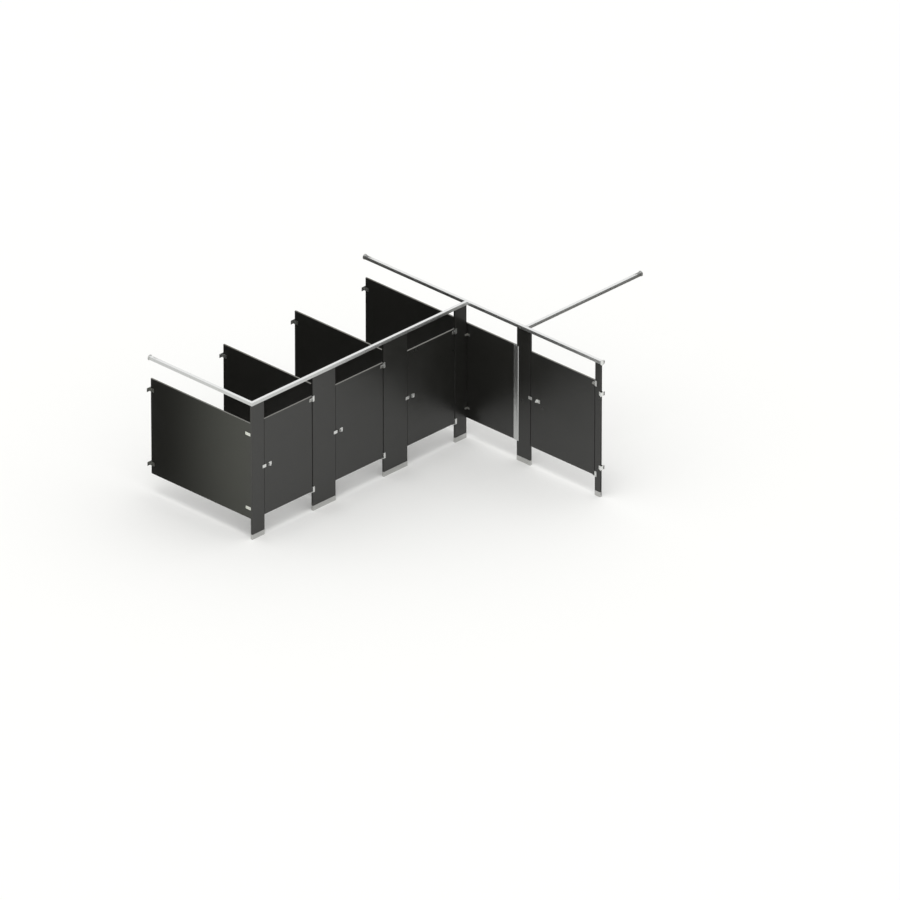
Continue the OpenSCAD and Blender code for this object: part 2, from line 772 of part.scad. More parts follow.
// The bracket wraps the pilaster's edge
module hinge_wrap_plate(z) {
    out_t = pilaster_t + 2 * hinge_t;
    l = hinge_wrap + hinge_t;
    translate([pivot_x - hinge_t, 0, z]) difference() {
        union() {
            translate([0, -out_t / 2, 0]) cube([l - bracket_r, out_t, hinge_h]);
            translate([l - 2 * bracket_r, 0, hinge_h / 2]) rotate([90, 0, 0])
                translate([0, 0, -out_t / 2]) linear_extrude(out_t)
                    rounded_rect(4 * bracket_r, hinge_h, bracket_r);
        }
        translate([hinge_t, -pilaster_t / 2, -over]) cube([l, pilaster_t, hinge_h + 2 * over]);
    }
}

// A lug with a round end carries the pin, and widens where it meets the bracket
module lug(z) {
    lug_w = 2 * (cam_r + 1);
    root_w = pilaster_t + 2 * hinge_t;
    translate([0, 0, z]) linear_extrude(lug_t) {
        circle(lug_w / 2);
        translate([0, -lug_w / 2]) square([pivot_x - hinge_t, lug_w]);
        polygon([[pivot_x - hinge_t - 6, lug_w / 2], [pivot_x - hinge_t, root_w / 2],
            [pivot_x - hinge_t, -root_w / 2], [pivot_x - hinge_t - 6, -lug_w / 2]]);
    }
}

module upper_hinge_brackets() {
    top = door_top - hinge_drop;
    color(cast) for (i = [0:3]) at_door(i) difference() {
        union() {
            hinge_wrap_plate(top - hinge_h);
            lug(upper_lug_z);
        }
        translate([0, 0, upper_lug_z - over]) cylinder(r = pin_r, h = lug_t + 2 * over);
    }
}

module lower_hinge_brackets() {
    color(cast) for (i = [0:3]) at_door(i) difference() {
        union() {
            hinge_wrap_plate(lower_lug_z);
            lug(lower_lug_z);
        }
        translate([0, 0, lower_lug_z - over]) cylinder(r = pin_r, h = lug_t + 2 * over);
    }
}

// Headed pins: the upper one hangs from its lug, the lower one stands in its lug
module hinge_pins() {
    head_h = 3;
    color(stainless) for (i = [0:3]) at_door(i) {
        translate([0, 0, block_z + 4]) cylinder(r = pin_r, h = upper_lug_z + lug_t - block_z - 4);
        translate([0, 0, upper_lug_z + lug_t]) cylinder(r = pin_r + 2.5, h = head_h);
        translate([0, 0, lower_lug_z]) cylinder(r = pin_r, h = panel_z + socket_l - lower_lug_z - 2);
        translate([0, 0, lower_lug_z - head_h]) cylinder(r = pin_r + 2.5, h = head_h);
    }
}

module cam_ring(z) {
    translate([0, 0, z]) linear_extrude(cam_t) difference() {
        circle(cam_r);
        circle(pin_r + pin_clear);
    }
}

module lower_cams() {
    color(nylon) for (i = [0:3]) at_door(i) cam_ring(lower_lug_z + lug_t);
}

// Doors

module door(i) {
    w = doors[i][2];
    color(coat) at_door(i) difference() {
        translate([pivot_inset - w / 2, 0, 0]) board(w);
        translate([pivot_inset - block_l, -panel_t, block_z])
            cube([block_l + over, 2 * panel_t, notch_z1 - block_z]);
        translate([0, 0, panel_z - over]) cylinder(r = pin_r + 3, h = socket_l + over);
    }
}

// The upper block fills the notch flush with the door; the lower socket is a flanged bush
module hinge_blocks(i) {
    color(cast) at_door(i) {
        difference() {
            intersection() {
                translate([pivot_inset - doors[i][2] / 2, 0, 0]) board(doors[i][2]);
                translate([pivot_inset - block_l, -panel_t, block_z])
                    cube([block_l + over, 2 * panel_t, block_h]);
            }
            translate([0, 0, block_z + 3]) cylinder(r = pin_r + pin_clear, h = block_h);
        }
        difference() {
            union() {
                translate([0, 0, panel_z]) cylinder(r = pin_r + 3, h = socket_l);
                translate([0, 0, panel_z - cam_t]) cylinder(r = cam_r, h = cam_t);
            }
            translate([0, 0, panel_z - cam_t - over])
                cylinder(r = pin_r + pin_clear, h = socket_l + cam_t);
        }
    }
}

// In the latch's frame X = 0 is the door's latch edge, +X runs into the door and Z = 0 is the bolt
module at_latch(i) {
    at_door(i) translate([latch_edge(doors[i][2]), 0, latch_z]) children();
}

// Pull: a cast plate with a lip on its latch side, which bends a little and ends in a bead for
// the fingers. Its plan starts at the edge nearest to the latch, with the door's face at Y = 0.
module pull_plan() {
    fillet = 6;
    fillet_x = lip_t + 0.9 * fillet;
    ledge = 1.2;
    root_y = -pull_t / 2;
    bead_y = lip_bead_r - pull_out;
    end_y = bead_y - lip_t / 4;
    bend_x = ledge + lip_bend_r;
    bead_x = bend_x - sqrt(pow(lip_bend_r - lip_t / 2, 2) - pow(bead_y - root_y, 2));
    translate([0, -pull_t]) square([pull_w, pull_t]);
    intersection() {
        translate([bend_x, root_y]) difference() {
            circle(lip_bend_r);
            circle(lip_bend_r - lip_t);
        }
        translate([0, end_y]) square([lip_bend_r / 2, root_y - end_y]);
    }
    translate([bead_x, bead_y]) circle(lip_bead_r);
    translate([ledge, -pull_t - fillet]) difference() {
        translate([lip_t / 2, 0]) square([fillet_x - lip_t / 2, fillet + pull_t / 2]);
        translate([fillet_x, 0]) circle(fillet);
    }
}

// What is cut from the lip, seen from the side with X away from the door: it narrows from the
// plate to a round tip, whose curve reaches just past the straight bead.
module lip_trim() {
    shoulder = pull_t + 2;
    tip_x = pull_out + 2 - lip_tip_r;
    run = tip_x - shoulder;
    slope = atan2(pull_h / 2, run) - asin(lip_tip_r / norm([run, pull_h / 2]));
    touch = [tip_x + lip_tip_r * sin(slope), lip_tip_r * cos(slope)];
    root_h = pull_h / 2 + (shoulder + over) * tan(slope);
    difference() {
        translate([0, -pull_h]) square([pull_out + lip_tip_r, 2 * pull_h]);
        polygon([[-over, root_h], touch, [touch[0], -touch[1]], [-over, -root_h]]);
        translate([tip_x, 0]) circle(lip_tip_r);
    }
}

module door_pull(i, inset) {
    corner_r = 9;
    color(cast) at_latch(i) translate([inset, -half_t, 0]) difference() {
        intersection() {
            translate([0, 0, -pull_h / 2]) linear_extrude(pull_h) pull_plan();
            translate([pull_w / 2, -pull_out - over, 0])
                upright_plate(pull_w, pull_h, pull_out + 2 * over, corner_r);
        }
        translate([pull_w + over, 0, 0]) rotate([90, 0, -90])
            linear_extrude(pull_w + 2 * over) lip_trim();
    }
}

// Latch case: a cast housing with a channel for the bolt bar and a slot for its thumb knob
module latch_case(i) {
    color(cast) at_latch(i) difference() {
        translate([case_x + case_l / 2, case_y, 0]) intersection() {
            upright_plate(case_l, case_h, case_d, 6);
            translate([0, 0, -case_h / 2]) linear_extrude(case_h) rounded_rect(case_l, 2 * case_d, 4);
        }
        translate([case_x - over, bar_y - bar_t / 2 - slide_clear, -bar_h / 2 - slide_clear])
            cube([bar_l + bar_x - case_x + over + 1, bar_t + 2 * slide_clear,
                bar_h + 2 * slide_clear]);
        translate([thumb_x - bolt_travel - thumb_r / 2 - slide_clear, bar_y, -thumb_r / 2 - slide_clear])
            cube([bolt_travel + thumb_r + 2 * slide_clear, case_d, thumb_r + 2 * slide_clear]);
    }
}

// The bolt bar with its thumb knob, drawn back
module latch_bolt(i) {
    neck_l = case_y + case_d - bar_y + 1;
    color(stainless) at_latch(i) {
        translate([bar_x + bar_t / 4, bar_y - bar_t / 2, -bar_h / 2]) cube([bar_l - bar_t / 4, bar_t, bar_h]);
        translate([bar_x, bar_y - bar_t / 4, -bar_h / 2]) cube([bar_l, bar_t / 2, bar_h]);
        translate([thumb_x - thumb_r / 2, bar_y, -thumb_r / 2]) cube([thumb_r, neck_l, thumb_r]);
        translate([thumb_x, bar_y + neck_l, 0]) rotate([-90, 0, 0]) rotate_extrude() {
            square([thumb_r * 0.7, thumb_l]);
            square([thumb_r, thumb_l * 0.3]);
            translate([0, thumb_l * 0.7]) square([thumb_r, thumb_l * 0.3]);
        }
    }
}

// Keeper: wraps the pilaster's latch edge, with a strike lip outside and a staple inside
module keepers() {
    edge = -latch_gap;
    out_t = pilaster_t + 2 * keeper_t;
    staple_z = bar_h / 2 + 2 * slide_clear;
    staple_y = bar_y + bar_t / 2 + slide_clear;
    color(cast) for (i = [0:3]) at_latch(i) {
        translate([(keeper_lip - latch_gap - keeper_grip) / 2, -face_y - keeper_t, 0])
            upright_plate(keeper_grip + latch_gap + keeper_lip, keeper_h, keeper_t, 5);
        translate([edge, -out_t / 2, -keeper_h / 2]) cube([keeper_t, out_t, keeper_h]);
        translate([edge + (keeper_t - keeper_grip) / 2, face_y, 0])
            upright_plate(keeper_grip + keeper_t, keeper_h, keeper_t, 5);
        translate([edge - 2 - bolt_travel + latch_gap, 0, 0]) difference() {
            translate([0, face_y, -staple_z - keeper_t])
                cube([bolt_travel - latch_gap, staple_y + keeper_t - face_y, 2 * (staple_z + keeper_t)]);
            translate([-over, face_y + keeper_t, -staple_z])
                cube([bolt_travel, staple_y - face_y - keeper_t, 2 * staple_z]);
        }
    }
}

module keeper_bumpers() {
    pad_w = keeper_lip - 8;
    color(nylon) for (i = [0:3]) at_latch(i)
        translate([pad_w / 2 + 4, -face_y, 0]) upright_plate(pad_w, keeper_h - 10, bumper_t, 3);
}

// Coat hook with a rubber-tipped bumper, on the inside of the door
module coat_hook(i) {
    w = doors[i][2];
    bend_r = 14;
    color(stainless) at_door(i) translate([pivot_inset - w / 2, half_t, door_top - hook_drop]) {
        rotate([-90, 0, 0]) rotate_extrude() {
            square([hook_rose_d / 2, 3]);
            square([hook_r * 2, 8]);
            square([hook_r, hook_out - hook_tip_r]);
            translate([0, hook_out - hook_tip_r])
                intersection() {
                    circle(hook_tip_r);
                    translate([0, -hook_tip_r]) square(2 * hook_tip_r);
                }
        }
        translate([0, 8 + bend_r, -bend_r]) rotate([0, 90, 0]) rotate([0, 0, 180]) {
            rotate_extrude(angle = 90) translate([bend_r, 0]) circle(hook_r);
        }
    }
}

panel_1();
panel_2();
panel_3();
panel_4();
fixed_panel();
pilaster_a();
pilaster_b();
pilaster_c();
pilaster_d();
pilaster_e();
pilaster_f();
shoe_a();
shoe_b();
shoe_c();
shoe_d();
shoe_e();
shoe_f();
levelling_feet();
end_headrail();
front_headrail();
run_headrail();
brace_headrail();
headrail_splices();
rail_wall_flanges();
wall_brackets();
pilaster_wall_brackets();
pilaster_stirrups();
corner_angles();
joining_channel();
through_bolts();
upper_hinge_brackets();
lower_hinge_brackets();
hinge_pins();
lower_cams();
keepers();
keeper_bumpers();
door(0);  // door_1
hinge_blocks(0);  // door_1_hinge_blocks
door_pull(0, pull_inset);  // door_1_pull
latch_case(0);  // door_1_latch_case
coat_hook(0);  // door_1_coat_hook
latch_bolt(0);  // door_1_bolt
door(1);  // door_2
hinge_blocks(1);  // door_2_hinge_blocks
door_pull(1, pull_inset);  // door_2_pull
latch_case(1);  // door_2_latch_case
coat_hook(1);  // door_2_coat_hook
latch_bolt(1);  // door_2_bolt
door(2);  // door_3
hinge_blocks(2);  // door_3_hinge_blocks
door_pull(2, pull_inset);  // door_3_pull
latch_case(2);  // door_3_latch_case
coat_hook(2);  // door_3_coat_hook
latch_bolt(2);  // door_3_bolt
door(3);  // door_4
hinge_blocks(3);  // door_4_hinge_blocks
door_pull(3, wide_pull_inset);  // door_4_pull
latch_case(3);  // door_4_latch_case
coat_hook(3);  // door_4_coat_hook
latch_bolt(3);  // door_4_bolt
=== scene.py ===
"""Looks of an overhead-braced toilet partition: three stalls in a row, and an accessible one."""

import json
import math

import bmesh
import bpy
import numpy as np
from mathutils import Matrix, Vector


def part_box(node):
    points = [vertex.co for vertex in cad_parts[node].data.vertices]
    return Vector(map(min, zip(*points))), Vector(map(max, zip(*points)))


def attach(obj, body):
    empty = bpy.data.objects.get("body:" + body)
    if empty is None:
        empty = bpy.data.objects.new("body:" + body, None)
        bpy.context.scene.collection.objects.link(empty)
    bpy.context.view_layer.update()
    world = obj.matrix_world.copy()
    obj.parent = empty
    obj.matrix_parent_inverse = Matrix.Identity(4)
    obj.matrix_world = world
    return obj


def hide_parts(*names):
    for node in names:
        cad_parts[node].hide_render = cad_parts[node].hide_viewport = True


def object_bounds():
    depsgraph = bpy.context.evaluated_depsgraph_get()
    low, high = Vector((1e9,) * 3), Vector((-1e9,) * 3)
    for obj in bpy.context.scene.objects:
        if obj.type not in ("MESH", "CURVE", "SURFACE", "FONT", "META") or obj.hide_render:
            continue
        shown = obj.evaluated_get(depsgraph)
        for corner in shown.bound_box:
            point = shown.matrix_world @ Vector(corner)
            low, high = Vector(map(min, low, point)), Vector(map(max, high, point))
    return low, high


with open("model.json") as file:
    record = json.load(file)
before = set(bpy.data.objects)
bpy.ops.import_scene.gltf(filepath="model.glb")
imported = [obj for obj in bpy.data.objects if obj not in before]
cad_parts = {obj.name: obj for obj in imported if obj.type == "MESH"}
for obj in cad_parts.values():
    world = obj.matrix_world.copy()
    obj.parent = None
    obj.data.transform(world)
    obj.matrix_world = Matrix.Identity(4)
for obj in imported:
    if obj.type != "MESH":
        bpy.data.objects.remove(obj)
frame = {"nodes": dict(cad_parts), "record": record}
bounds_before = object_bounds()

# Camera: a very long lens that looks down on the set at an angle, as in a catalogue's
# isometric view. It stands about 250 m away, so upright lines stay upright.
eye = np.array([-155.8675, -155.2199, 117.177])
aim = np.array([2.7302, -1.0226, 0.6867])
back = (eye - aim) / np.linalg.norm(eye - aim)
right = np.cross((0, 0, 1), back)
right /= np.linalg.norm(right)
up = np.cross(back, right)
camera = bpy.data.objects.new("camera", bpy.data.cameras.new("camera"))
camera.matrix_world = Matrix([[right[i], up[i], back[i], eye[i]] for i in range(3)] + [[0, 0, 0, 1]])
camera.data.lens = 726.87
camera.data.sensor_width = 36
camera.data.clip_start = 10
camera.data.clip_end = 900
bpy.context.scene.collection.objects.link(camera)
bpy.context.scene.camera = camera
bpy.context.scene.view_settings.view_transform = "Standard"

# Boards: panels, pilasters and doors are pairs of thin steel skins over a paper honeycomb,
# folded at the edges. They carry a satin charcoal powder coat, baked on in one even layer.
mm = 0.001


def colour(code):
    """Linear red, green, blue and alpha of an sRGB hex code."""
    v = np.array([int(code[i:i + 2], 16) / 255 for i in (0, 2, 4)])
    linear = np.where(v <= 0.04045, v / 12.92, ((v + 0.055) / 1.055) ** 2.4)
    return (*(float(x) for x in linear), 1.0)


def material(name):
    """A new material, its node tree and its shader."""
    m = bpy.data.materials.new(name)
    m.use_nodes = True
    return m, m.node_tree, m.node_tree.nodes["Principled BSDF"]


def add(tree, kind, links=(), **values):
    """A node of that kind. Values set its properties or inputs, and links are (input, socket)."""
    n = tree.nodes.new("ShaderNode" + kind)
    for k, v in values.items():
        if k in n.bl_rna.properties:
            setattr(n, k, v)
        else:
            n.inputs[k.replace("_", " ").title()].default_value = v
    for socket, source in links:
        tree.links.new(source, n.inputs[socket])
    return n


def wear(m, *nodes):
    """Gives CAD nodes that material."""
    for n in nodes:
        mesh = frame["nodes"][n].data
        mesh.materials.clear()
        mesh.materials.append(m)


# Polyester powder coat on steel: a dark dielectric skin with fine orange peel. It takes most
# of its brightness from what it mirrors, and faces that look up are painted lighter, a painted
# highlight for the light from above.
peel_size = 2.5 * mm
cloud_size = 400 * mm
coat, tree, shader = material("charcoal_powder_coat")
place = add(tree, "TexCoord").outputs["Object"]
peel = add(tree, "TexNoise", [("Vector", place)], scale=1 / peel_size, detail=2.0)
bump = add(tree, "Bump", [("Height", peel.outputs["Fac"])], strength=0.25, distance=0.06 * mm)
cloud = add(tree, "TexNoise", [("Vector", place)], scale=1 / cloud_size, detail=5.0,
            roughness=0.6)
sheen = add(tree, "MapRange", [("Value", cloud.outputs["Fac"])],
            from_min=0.3, from_max=0.7, to_min=0.27, to_max=0.36)
facing = add(tree, "SeparateXYZ", [("Vector", add(tree, "NewGeometry").outputs["Normal"])])
# Painted highlight: faces that look up are painted lighter, for the light that falls on them from
# above.
painted_top_light = add(tree, "ValToRGB", [("Fac", facing.outputs["Z"])])
painted_top_light.color_ramp.elements[0].position = 0.4
painted_top_light.color_ramp.elements[0].color = colour("181815")
painted_top_light.color_ramp.elements[1].position = 1.0
painted_top_light.color_ramp.elements[1].color = colour("6a6963")
shader.inputs["IOR"].default_value = 1.57
tree.links.new(painted_top_light.outputs["Color"], shader.inputs["Base Color"])
tree.links.new(sheen.outputs["Result"], shader.inputs["Roughness"])
tree.links.new(bump.outputs["Normal"], shader.inputs["Normal"])
panels = ["panel_1", "panel_2", "panel_3", "panel_4", "fixed_panel"]
doors = [f"door_{k}" for k in range(1, 5)]
pilasters = [f"pilaster_{p}" for p in "abcdef"]
wear(coat, *panels, *doors, *pilasters)

# Locking bars: an oval-crowned steel strip snaps over the folds along each board's edges and
# holds its skins together. It is mitred at the corners and coated with the board.
bar_half = 5.2 * mm
bar_rise = 0.9 * mm
bar_sink = 0.6 * mm
hinge_block_h = 34 * mm
lug_room = 15.3 * mm


def solid(name, verts, faces, m, body):
    """A closed mesh piece that rides on a body, with doubled points merged and faces outward."""
    mesh = bpy.data.meshes.new(name)
    mesh.from_pydata(np.asarray(verts, float).tolist(), [], faces)
    shape = bmesh.new()
    shape.from_mesh(mesh)
    bmesh.ops.remove_doubles(shape, verts=shape.verts, dist=1e-7)
    bmesh.ops.recalc_face_normals(shape, faces=shape.faces)
    shape.to_mesh(mesh)
    shape.free()
    mesh.materials.append(m)
    piece = bpy.data.objects.new(name, mesh)
    bpy.context.scene.collection.objects.link(piece)
    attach(piece, body)
    return piece


def quads(rings, count, closed=False):
    """Quads between neighbouring rings of count points; closed joins the last ring to the first."""
    i, j = np.meshgrid(np.arange(rings if closed else rings - 1), np.arange(count), indexing="ij")
    i1 = (i + 1) % rings
    j1 = (j + 1) % count
    corner = [i * count + j, i * count + j1, i1 * count + j1, i1 * count + j]
    return np.stack(corner, axis=-1).reshape(-1, 4).tolist()


def lengthwise(node):
    """A node's lowest and highest corners, and the level axis, 0 or 1, along which it is longer."""
    lo, hi = np.array(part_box(node))
    return lo, hi, int(hi[1] - lo[1] > hi[0] - lo[0])


def locking_bar(node, body, corners, outward, closed):
    """Sweeps a crowned profile along corners (distance, height) in a board's plane.

    A point is corner + v * outward, moved u across the board: v = rise * (1 - (u / half)^2)
    on the crown, and the profile closes inside the board. Outward diagonals make the mitres.
    """
    lo, hi, along = lengthwise(node)
    crown = np.linspace(-bar_half, bar_half, 7)
    u = np.concatenate([crown, [bar_half, -bar_half]])
    v = np.concatenate([bar_rise * (1 - (crown / bar_half) ** 2), [-bar_sink, -bar_sink]])
    run = np.asarray(corners)[:, None, :] + v[None, :, None] * np.asarray(outward)[:, None, :]
    verts = np.empty((*run.shape[:2], 3))
    verts[..., along] = run[..., 0]
    verts[..., 1 - along] = (lo + hi)[1 - along] / 2 + u
    verts[..., 2] = run[..., 1]
    faces = quads(*run.shape[:2], closed)
    if not closed:
        end = np.arange(len(u))
        faces += [end.tolist(), (end + len(u) * (len(corners) - 1)).tolist()]
    solid(f"{node}_locking_bar", verts.reshape(-1, 3), faces, coat, body)


for node in panels:
    lo, hi, along = lengthwise(node)
    ends = [[lo[along], lo[2]], [hi[along], lo[2]], [hi[along], hi[2]], [lo[along], hi[2]]]
    locking_bar(node, "frame", ends, [[-1, -1], [1, -1], [1, 1], [-1, 1]], True)

# A door's bar stops at the notch for its hinge block, on the hinge edge, which faces the sign s
for node in doors:
    lo, hi, along = lengthwise(node)
    block_lo, block_hi = np.array(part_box(f"{node}_hinge_blocks"))
    s = 1 if (block_lo + block_hi)[along] > (lo + hi)[along] else -1
    hinge, latch = (hi[along], lo[along]) if s > 0 else (lo[along], hi[along])
    path = [[hinge, block_hi[2] - hinge_block_h], [hinge, lo[2]], [latch, lo[2]],
            [latch, hi[2]], [hinge, hi[2]], [hinge, block_hi[2] + lug_room]]
    locking_bar(node, node, path, [[s, 0], [s, -1], [-s, -1], [-s, 1], [s, 1], [s, 0]], False)

# Feet: the pilasters stand on levelling studs in a bar bolted to the floor, inside shoes folded
# from thin satin stainless, which drop over them and are held by one small screw.
shoe_screw_drop = 16 * mm

# Stainless steel brushed level: fine straight lines that draw its highlights out upright. They
# are drawn some five times as coarse as real ones, so that they show.
grain_size = 0.5 * mm
grain_l = 125 * mm
stainless, tree, shader = material("satin_stainless_steel")
place = add(tree, "TexCoord").outputs["Object"]
level_grain = add(tree, "Mapping", [("Vector", place)])
level_grain.inputs["Scale"].default_value = (1 / grain_l, 1 / grain_l, 1 / grain_size)
brush = add(tree, "TexNoise", [("Vector", level_grain.outputs["Vector"])], scale=1.0, detail=3.0)
score = add(tree, "Bump", [("Height", brush.outputs["Fac"])], strength=0.2, distance=0.02 * mm)
sheen = add(tree, "MapRange", [("Value", brush.outputs["Fac"])],
            from_min=0.35, from_max=0.65, to_min=0.22, to_max=0.36)
shader.inputs["Base Color"].default_value = colour("bfbfbd")
shader.inputs["Metallic"].default_value = 1
tree.links.new(sheen.outputs["Result"], shader.inputs["Roughness"])
tree.links.new(score.outputs["Normal"], shader.inputs["Normal"])
shoes = [f"shoe_{p}" for p in "abcdef"]
wear(stainless, *shoes, "levelling_feet")


def screw(head_r, head_h, socket_r, shank_r, shank_l, steps):
    """A domed security screw round +Z, its head's seat at Z = 0: rings of points about the axis.

    The dome is z = h * (1 - 0.8 (r / R)^2) over a straight rim. Its socket has six lobes,
    r = socket * (1 + 0.18 cos 6a), with a pin standing in the middle.
    """
    a = np.arange(steps) * math.tau / steps
    lobe = socket_r * (1 + 0.18 * np.cos(6 * a))
    middle = (lobe + head_r) / 2
    lobe_z, middle_z, rim_z = (head_h * (1 - 0.8 * (r / head_r) ** 2) for r in (lobe, middle, head_r))
    pin_r = 0.35 * socket_r
    pin_z = 0.75 * head_h
    floor_z = 0.35 * head_h
    rings = [(0, pin_z), (pin_r, pin_z), (pin_r, floor_z), (lobe, floor_z), (lobe, lobe_z),
             (middle, middle_z), (head_r, rim_z), (head_r, 0), (shank_r, 0), (shank_r, -shank_l),
             (0, -shank_l)]
    r = np.array([np.broadcast_to(ring[0], steps) for ring in rings])
    z = np.array([np.broadcast_to(ring[1], steps) for ring in rings])
    return np.stack([r * np.cos(a), r * np.sin(a), z], axis=-1).reshape(-1, 3), quads(len(rings), steps)


def set_in(name, shape, seats, m, body):
    """Copies of a shape at seats (point, direction), with the shape's +Z along the direction."""
    verts, faces = shape
    point = np.array([s[0] for s in seats], float)
    w = np.array([s[1] for s in seats], float)
    side = np.where(np.abs(w[:, 2:3]) > 0.9, [[1.0, 0, 0]], [[0, 0, 1.0]])
    u = np.cross(side, w)
    v = np.cross(w, u)
    turned = verts[None, :, 0, None] * u[:, None] + verts[None, :, 1, None] * v[:, None]
    placed = point[:, None] + turned + verts[None, :, 2, None] * w[:, None]
    rows = np.arange(len(seats)) * len(verts)
    copies = (np.array(faces)[None] + rows[:, None, None]).reshape(-1, 4).tolist()
    return solid(name, placed.reshape(-1, 3), copies, m, body)


small_screw = screw(head_r=4.2 * mm, head_h=2.4 * mm, socket_r=1.7 * mm, shank_r=1.9 * mm,
                    shank_l=4 * mm, steps=12)
shoe_seats = []
for node in shoes:
    lo, hi, along = lengthwise(node)
    seat = (lo + hi) / 2
    seat[1 - along] = lo[1 - along]
    seat[2] = hi[2] - shoe_screw_drop
    shoe_seats.append((seat, -np.eye(3)[1 - along]))
set_in("shoe_screws", small_screw, shoe_seats, stainless, "frame")

# Brackets: satin chrome-plated zinc castings. U brackets clasp the boards' ends, on wall bases
# and on the pilasters' backs, and angles hold the inner corner.
grit = 0.8 * mm
patch_size = 16 * mm


def casting(name, code):
    """Plated zinc, tumbled before it is plated: soft patches of sheen and a very fine grit.

    The grit is drawn coarser than it is, so that it shows.
    """
    m, tree, shader = material(name)
    place = add(tree, "TexCoord").outputs["Object"]
    skin = add(tree, "TexNoise", [("Vector", place)], scale=1 / grit, detail=2.0)
    bump = add(tree, "Bump", [("Height", skin.outputs["Fac"])], strength=0.2, distance=0.03 * mm)
    patch = add(tree, "TexNoise", [("Vector", place)], scale=1 / patch_size, detail=3.0)
    sheen = add(tree, "MapRange", [("Value", patch.outputs["Fac"])],
                from_min=0.3, from_max=0.7, to_min=0.24, to_max=0.36)
    shader.inputs["Base Color"].default_value = colour(code)
    shader.inputs["Metallic"].default_value = 1
    tree.links.new(sheen.outputs["Result"], shader.inputs["Roughness"])
    tree.links.new(bump.outputs["Normal"], shader.inputs["Normal"])
    return m


# Satin chrome is bright and nearly neutral. The corner angles and the hinge blocks get a darker
# copy of it, painted shade for the dark surroundings that they mirror.
cast = casting("satin_chrome_castings", "dcdddb")
shaded_chrome = casting("satin_chrome_painted_shade", "a4a4a0")
wear(cast, "wall_brackets", "pilaster_wall_brackets", "pilaster_stirrups")
wear(shaded_chrome, "corner_angles")

# Through bolts: stainless barrel nuts and screws, with a domed head on each side that only a
# pinned six-lobe key turns.
bolt_head_h = 3 * mm


def parts_of(node):
    """Lowest and highest corners of each separate solid of a CAD node, in order of place.

    Triangles that share a corner take the lowest number among them, until nothing changes.
    """
    mesh = frame["nodes"][node].data
    at = np.empty(len(mesh.vertices) * 3)
    mesh.vertices.foreach_get("co", at)
    at = np.round(at.reshape(-1, 3), 6)
    same = np.unique(at, axis=0, return_inverse=True)[1].reshape(-1)
    mesh.calc_loop_triangles()
    corner = np.empty(len(mesh.loop_triangles) * 3, int)
    mesh.loop_triangles.foreach_get("vertices", corner)
    tri = same[corner].reshape(-1, 3)
    number = np.arange(same.max() + 1)
    while True:
        low = number.copy()
        np.minimum.at(low, tri.ravel(), number[tri].min(axis=1).repeat(3))
        low = low[low]
        if (low == number).all():
            break
        number = low
    group = number[same]
    boxes = [(at[group == g].min(axis=0), at[group == g].max(axis=0)) for g in np.unique(group)]
    return sorted(boxes, key=lambda b: tuple(np.round(b[0], 4)))


bolt = screw(head_r=6.5 * mm, head_h=bolt_head_h, socket_r=2.6 * mm, shank_r=3 * mm,
             shank_l=14 * mm, steps=24)
bolt_seats = []
for lo, hi in parts_of("through_bolts"):
    axis = int(np.argmax(hi - lo))
    for end, sign in ((lo, -1), (hi, 1)):
        seat = (lo + hi) / 2
        seat[axis] = end[axis] - sign * bolt_head_h
        bolt_seats.append((seat, sign * np.eye(3)[axis]))
security_bolts = set_in("security_bolts", bolt, bolt_seats, stainless, "frame")
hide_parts("through_bolts")

# Wall screws: four larger ones in each wall bracket's base. A divider's base is wider than the
# end pilaster's and backs onto +Y, where the pilaster's backs onto -Y.
wall_screw = screw(head_r=5.4 * mm, head_h=3 * mm, socket_r=2.2 * mm, shank_r=2.5 * mm,
                   shank_l=3 * mm, steps=12)
bases = {"wall_brackets": (48 * mm, 1), "pilaster_wall_brackets": (32 * mm, -1)}
base_metal = 3 * mm
base_screw_z = 18 * mm
wall_seats = []
for node, (base_screw_x, behind) in bases.items():
    for lo, hi in parts_of(node):
        middle = (lo + hi) / 2
        middle[1] = (hi if behind > 0 else lo)[1] - behind * base_metal
        wall_seats += [(middle + (x * base_screw_x, 0, z * base_screw_z), (0, -behind, 0))
                       for x in (-1, 1) for z in (-1, 1)]
set_in("wall_bracket_screws", wall_screw, wall_seats, stainless, "frame")

# Headrail: a bright anodised aluminium extrusion that grips the pilasters' tops, with fine die
# lines along its length. Each rail's free end sits in a round cast flange.
die_line = 1.2 * mm
die_line_l = 650 * mm


